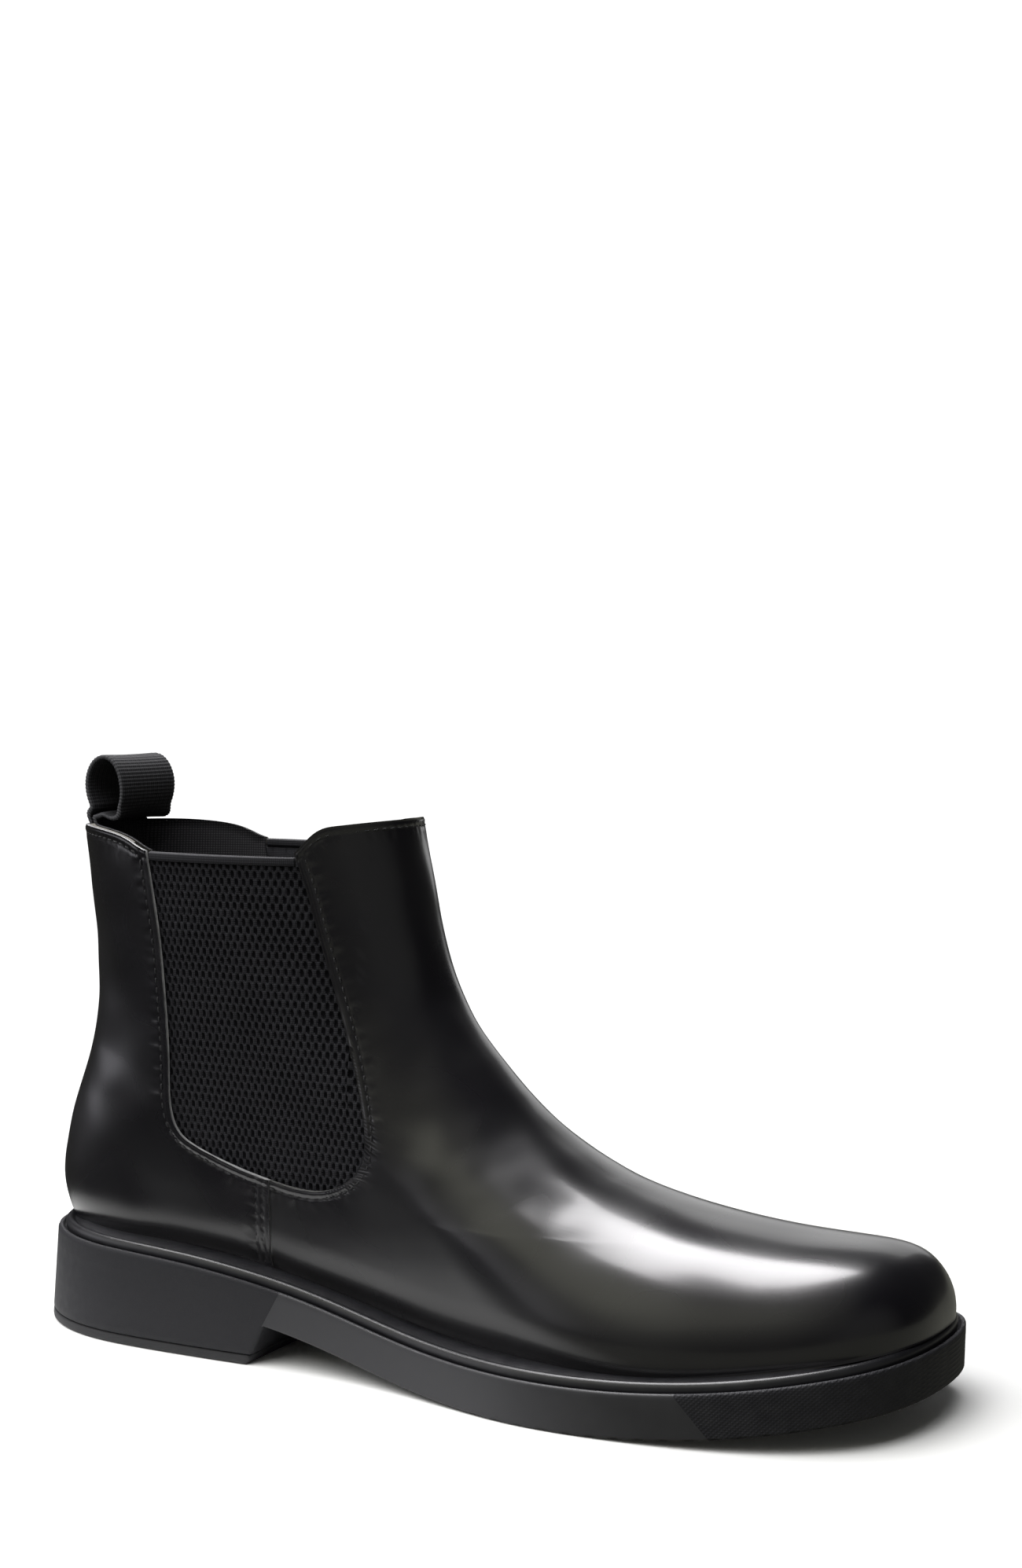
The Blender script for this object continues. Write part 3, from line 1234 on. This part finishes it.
def heel_loop(z, inset):
    """Closed plan loop of the heel at heights z(x) given by a function: outline then straight breast."""
    marks = np.linspace(0, PERIMETER, 3000, endpoint=False)
    breast_x = np.zeros(2)
    for _ in range(6):
        breast_x = BREAST[0] + (BREAST[1] - BREAST[0]) * z(breast_x) / float(rim_z(BREAST[1]))
    behind = outline_at(marks)[:, 0] < breast_x[0] - inset
    start = np.flatnonzero(behind & ~np.roll(behind, 1))[0]
    run = marks[start] + np.linspace(0, behind.mean() * PERIMETER, 220)
    side = outline_at(run, inset, z(outline_at(run)[:, 0]))
    front = np.linspace(side[-1], side[0], 60)[1:-1]
    closed = spaced(np.concatenate([side, front, side[:1]]), 1.3)
    counts = np.arange(len(closed))
    places = rows_at(np.linspace(0, counts[-1], HEEL_STATIONS, endpoint=False), counts, closed)
    for _ in range(2):
        places = (np.roll(places, 1, axis=0) + 2 * places + np.roll(places, -1, axis=0)) / 4
    return np.column_stack([places, z(places[:, 0])])


def ring_facing(ring):
    """Level directions straight out of a closed ring."""
    run = np.roll(ring, -1, axis=0) - np.roll(ring, 1, axis=0)
    return unit(np.column_stack([-run[:, 1], run[:, 0], np.zeros(len(ring))]))


def make_heel_part(name, levels, material, node, tread=False):
    """A slice of the heel between heights: rings from the bottom up with flat or treaded caps."""
    rings = [heel_loop(z, inset) for z, inset in levels]
    count = len(rings[0])
    faces = [tuple(reversed(f)) for f in ring_faces(count, len(rings))]
    points = np.concatenate(rings)
    top_ring = (len(rings) - 1) * count

    def underside(x, y):
        return levels[0][0](x) + tread_relief(x, y) * HEEL_TREAD * tread

    def top(x, y):
        return levels[-1][0](x)

    for first, step, height_at in ((0, 1.3 if tread else 5.0, underside), (top_ring, 5.0, top)):
        lattice = lattice_of(np.arange(-160, -40, step), np.arange(-50, 50, step))
        points, cap = cap_ring(points, first + np.arange(count), lattice, step / 2, height_at, first > 0)
        faces += [tuple(f) for f in cap]
    facing = None if tread else (top_ring, ring_facing(rings[-1]))
    make_object(name, points, faces, [material], [node], facing=facing)


def flat_at(height):
    return lambda x: np.full(np.shape(x), float(height))


def share_at(share):
    def height(x):
        return mix(TOP_LIFT + 0.12, rim_z(x) - SEAT_LAYER, share)

    return height


def make_heel():
    block = [(share_at(0.0), 0.5), (share_at(0.012), 0.1), (share_at(0.03), -0.12)]
    block += [(share_at(s), -0.12) for s in np.linspace(0.12, 1.0, 8)]
    make_heel_part("heel_block_moulded", block, heel_rubber, "heel_block")
    lift = [(flat_at(z), inset) for z, inset in
            ((0.0, 1.1), (0.15, 0.5), (0.5, 0.1), (1.2, -0.05), (2.3, -0.05), (2.85, 0.1), (TOP_LIFT, 0.45))]
    make_heel_part("heel_top_lift_moulded", lift, lift_rubber, "heel_top_lift", tread=True)


WELT_SECTION = [(17, -1.2), (2.5, -1.2), (2.35, 0.2), (2.4, 1.1), (2.75, 1.95), (3.35, 2.5), (4.05, 2.62),
                (4.7, 2.3), (5.15, 1.8), (5.7, 1.65), (6.6, 1.9), (8.5, 2.42), (17, 2.42)]


def make_welt():
    """Rolled welt: a bead beside the lip's groove, and the ledge that the upper sits on."""
    rings = rim_rings(WELT_SECTION)
    total = len(rings) * STATIONS
    faces = [tuple(i % total for i in reversed(f)) for f in ring_faces(STATIONS, len(rings) + 1)]
    make_object("welt_rolled", np.concatenate(rings), faces, [welt_rubber], ["welt"])


# ------------------------------------------------------------------ inside the boot
PAD_CENTRE_X, PAD_RADII = -108, (27, 19)
SOCK_THICKNESS = 0.8


def make_sock_liner():
    """Leather sock with a soft pad under the heel, lightly dished towards its rim."""
    turns = np.linspace(-math.pi, math.pi, 181)[:-1]
    edge = turn_skin(turns, level_below(turns, lambda x: rim_z(x) + SOCK_TOP))[:, :2]
    middle_x = np.clip(edge[:, 0], -112, 110)
    middle = np.stack([middle_x, centre_y(middle_x)], -1)
    edge -= unit(edge - middle) * (LINING_DEPTHS[1] + 0.2)
    rings = []
    for share in (0.0, 0.12, 0.25, 0.4, 0.55, 0.68, 0.78, 0.86, 0.92, 0.96, 0.985, 1.0):
        x, y = mix(middle, edge, share).T
        pad = np.hypot((x - PAD_CENTRE_X) / PAD_RADII[0], (y - centre_y(x)) / PAD_RADII[1])
        dish = -0.7 * (1 - share ** 4) + 0.9 * ease(1.15, 0.8, pad) - 0.5 * ease(0.97, 1.0, share)
        rings.append(np.column_stack([x, y, rim_z(x) + SOCK_TOP + dish - 0.15]))
    rings.append(rings[-1] - [0, 0, SOCK_THICKNESS])
    count = len(turns)
    faces = [tuple(reversed(f)) for f in ring_faces(count, len(rings))]
    faces.append(tuple(range((len(rings) - 1) * count, len(rings) * count)))
    piece = make_object("sock_leather_liner", np.concatenate(rings), faces, [sock_leather],
                        ["sock_liner"])
    work = bmesh.new()
    work.from_mesh(piece.data)
    bmesh.ops.remove_doubles(work, verts=work.verts, dist=0.02 * MM)
    bmesh.ops.recalc_face_normals(work, faces=work.faces)
    work.to_mesh(piece.data)
    work.free()


def dress_inner_nodes():
    """Finishes for the CAD nodes that stay: what is inside the boot's walls and bottom."""
    finishes = {"toe_puff": stiffener_sheet, "heel_counter": stiffener_sheet,
                "shaft_back_backing": backing_felt, "insole_board": board_fibre,
                "footbed_foam": foam_cells, "shank": spring_steel, "bottom_filler": cork_grains,
                "heel_nails": spring_steel}
    for node, finish in finishes.items():
        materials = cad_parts[node].data.materials
        materials.clear()
        materials.append(finish)


# ------------------------------------------------------------------ studio
FLOOR_WHITE = 0.88
FLOOR_HALF = 6.0
SHEET = (0.11, 0.15)                   # where the white sheet starts to fade for reflections, and ends
SHEET_SHAPE, SHEET_SHIFT = (0.8, 1, 1), (0.072, 0.0, 0)
FLOOR_FADE = (0.3, 0.6)                # the same for the camera
TABLE_TONES, TABLE_RUN = (0.03, 0.26), (-0.11, 0.0)
CAMERA_WHITE = 1.25
# The room that is mirrored: towards each direction, tones by cosine, and their tint
PALE_WALL = (-0.9, -0.42, 0.1), ((0.4, 0.02), (0.78, 0.05), (0.89, 0.5), (0.96, 1.4)), (0.99, 0.98, 1.05)
NEAR_GLOW = (-0.32, -0.62, 0.7), ((0.5, 0.0), (0.72, 0.13), (0.89, 0.28), (0.985, 1.0)), (1.0, 1.0, 0.82)
TOE_GLOW = (0.9, -0.4, 0.2), ((0.75, 0.0), (0.96, 0.16)), (1.0, 1.0, 0.95)


def soft_box(name, place, target, size, power, colour=(1, 1, 1), washes=False, roll=0.0):
    """An area light that is either mirrored in glossy faces or washes the matt ones."""
    light = bpy.data.lights.new(name, "AREA")
    light.shape = "RECTANGLE"
    light.size, light.size_y = size
    light.energy = power
    light.color = colour
    lamp = bpy.data.objects.new(name, light)
    lamp.location = place
    aim = (Vector(target) - Vector(place)).to_track_quat("-Z", "Y").to_matrix()
    lamp.rotation_euler = (aim @ Matrix.Rotation(math.radians(roll), 3, "Z")).to_euler()
    lamp.visible_diffuse = washes
    lamp.visible_glossy = not washes
    bpy.context.scene.collection.objects.link(lamp)


def shader_mix(tree, share, first, second):
    return add_node(tree, "ShaderNodeMixShader", {0: share, 1: first, 2: second}).outputs["Shader"]


def camera_sees(tree):
    return add_node(tree, "ShaderNodeLightPath").outputs["Is Camera Ray"]


def distance_out(tree, places, ends):
    """0 near the boot, 1 further off than the ends."""
    length = add_node(tree, "ShaderNodeVectorMath", {0: places}, operation="LENGTH")
    return value_range(tree, length.outputs["Value"], 0, 1, *ends)


def make_floor():
    """A white sheet round the boot; further off the camera still sees white, but reflections don't."""
    material = new_material("studio_floor", (FLOOR_WHITE, FLOOR_WHITE, FLOOR_WHITE * 1.005), 0.6,
                            Specular_IOR_Level=0.2)
    tree = material.node_tree
    places = object_places(tree)
    along = add_node(tree, "ShaderNodeSeparateXYZ", {0: places}).outputs["X"]
    table = {"Color": (1, 1, 0.86, 1), "Strength": value_range(tree, along, *TABLE_TONES, *TABLE_RUN)}
    dark = add_node(tree, "ShaderNodeEmission", table).outputs["Emission"]
    glow = add_node(tree, "ShaderNodeEmission", {"Strength": 1.15}).outputs["Emission"]
    sheet = distance_out(tree, object_places(tree, SHEET_SHAPE, shift=SHEET_SHIFT), SHEET)
    ends = {"Factor": camera_sees(tree), "A": sheet, "B": distance_out(tree, places, FLOOR_FADE)}
    far = add_node(tree, "ShaderNodeMix", ends).outputs["Result"]
    white = tree.nodes["Principled BSDF"].outputs["BSDF"]
    surface = shader_mix(tree, far, white, shader_mix(tree, camera_sees(tree), dark, glow))
    plug(tree, tree.nodes["Material Output"], {"Surface": surface})
    mesh = bpy.data.meshes.new("studio_floor")
    corners = ((-1, -1), (1, -1), (1, 1), (-1, 1))
    mesh.from_pydata([(x * FLOOR_HALF, y * FLOOR_HALF, -0.0001) for x, y in corners], [], [(0, 1, 2, 3)])
    mesh.materials.append(material)
    floor = bpy.data.objects.new("studio_floor", mesh)
    bpy.context.scene.collection.objects.link(floor)


def make_world():
    """White to the camera; for reflections a room that is pale towards the heel's near side and dark
    towards the toe."""
    world = bpy.data.worlds.new("studio")
    bpy.context.scene.world = world
    world.use_nodes = True
    tree = world.node_tree
    generated = add_node(tree, "ShaderNodeTexCoord").outputs["Generated"]
    total = (0, 0, 0)
    for direction, tones, tint in (PALE_WALL, NEAR_GLOW, TOE_GLOW):
        toward = add_node(tree, "ShaderNodeVectorMath", {0: generated, 1: Vector(direction).normalized()},
                          operation="DOT_PRODUCT")
        stops = [(position, [tone * share for share in tint]) for position, tone in tones]
        summed = {0: ramp(tree, toward.outputs["Value"], stops), 1: total}
        total = add_node(tree, "ShaderNodeVectorMath", summed).outputs["Vector"]
    room = tree.nodes["Background"]
    plug(tree, room, {"Color": total})
    white = add_node(tree, "ShaderNodeBackground", {"Color": (1, 1, 1, 1), "Strength": CAMERA_WHITE})
    both = shader_mix(tree, camera_sees(tree), room.outputs["Background"], white.outputs["Background"])
    plug(tree, tree.nodes["World Output"], {"Surface": both})


def make_camera():
    camera = bpy.data.cameras.new("camera")
    camera.sensor_width = 36
    camera.lens = 52.79
    camera.shift_x, camera.shift_y = 0.0152, 0.2076
    camera.clip_start, camera.clip_end = 0.01, 50
    viewer = bpy.data.objects.new("camera", camera)
    place = Vector((0.3327, -0.6203, 0.2137))
    target = Vector((0.00565, 0.0013, 0.080))
    roll = math.radians(0.2)
    forward = (target - place).normalized()
    right = forward.cross(Vector((0, 0, 1))).normalized()
    up = right.cross(forward)
    tilt = Matrix.Rotation(roll, 3, "Z")
    viewer.location = place
    viewer.rotation_euler = (Matrix((right, up, -forward)).transposed() @ tilt).to_euler()
    bpy.context.scene.collection.objects.link(viewer)
    bpy.context.scene.camera = viewer


def make_studio():
    make_floor()
    make_world()
    make_camera()
    soft_box("overhead", (-0.37, 0.215, 1.1), (-0.1, 0.0, 0.05), (1.0, 0.82), 38, (1, 0.985, 1), roll=25)
    soft_box("far_side", (-0.45, 1.5, 0.5), (0, 0, 0.1), (1.3, 0.7), 3.0)
    soft_box("top_wash", (-0.3, -0.35, 1.2), (0, 0, 0), (1.8, 1.8), 38, washes=True)
    bpy.context.scene.view_settings.view_transform = "Standard"
    bpy.context.scene.view_settings.look = "None"


make_front_panel()
make_back_panel()
make_inner_layers()
for gore_side, side_name in SIDES:
    make_gore("gore_knit_" + side_name, gore_side, "gore_" + side_name)
for gore_side, side_name in SIDES:
    make_gore_tape("gore_tape_folded_" + side_name, gore_side, "gore_tape_" + side_name)
make_stitches()
make_pull_tab()
make_outsole()
make_heel()
make_welt()
make_sock_liner()
dress_inner_nodes()
make_studio()
